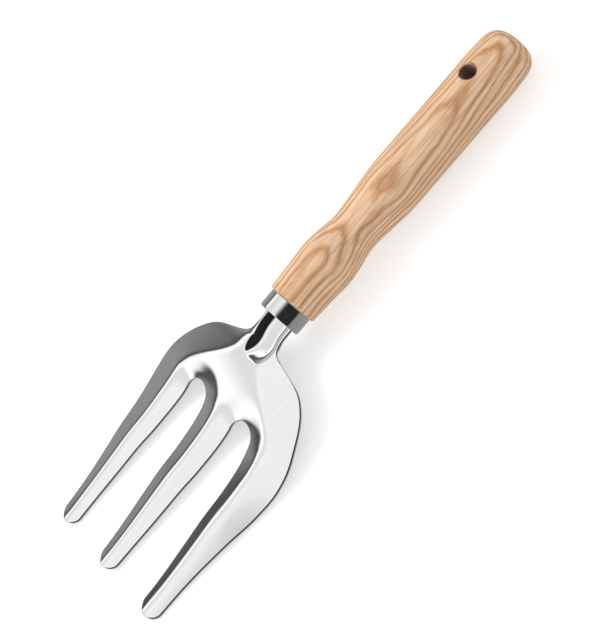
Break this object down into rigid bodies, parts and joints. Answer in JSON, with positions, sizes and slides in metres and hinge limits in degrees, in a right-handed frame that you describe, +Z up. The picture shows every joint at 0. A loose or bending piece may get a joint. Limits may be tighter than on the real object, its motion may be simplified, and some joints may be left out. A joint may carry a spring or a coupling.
{
  "type": "digging fork",
  "caption": "Hand digging fork with a pressed bright steel head, short ferrule and turned wooden handle with a hanging hole.",
  "frame": {"origin": "on the surface it lies on, under the middle of its bounding box", "axes": "+X toward the tine tips, +Z up out of the head's front, Y across the tines"},
  "size_m": [0.3154, 0.1018, 0.0327],
  "materials": {
    "steel_head": "mirror-polished stainless steel",
    "steel_ferrule": "polished steel",
    "ash_handle": "oiled, sanded ash"
  },
  "bodies": {
    "root": {"fork_head": "steel_head", "ferrule": "steel_ferrule", "handle": "ash_handle"}
  },
  "joints": []
}
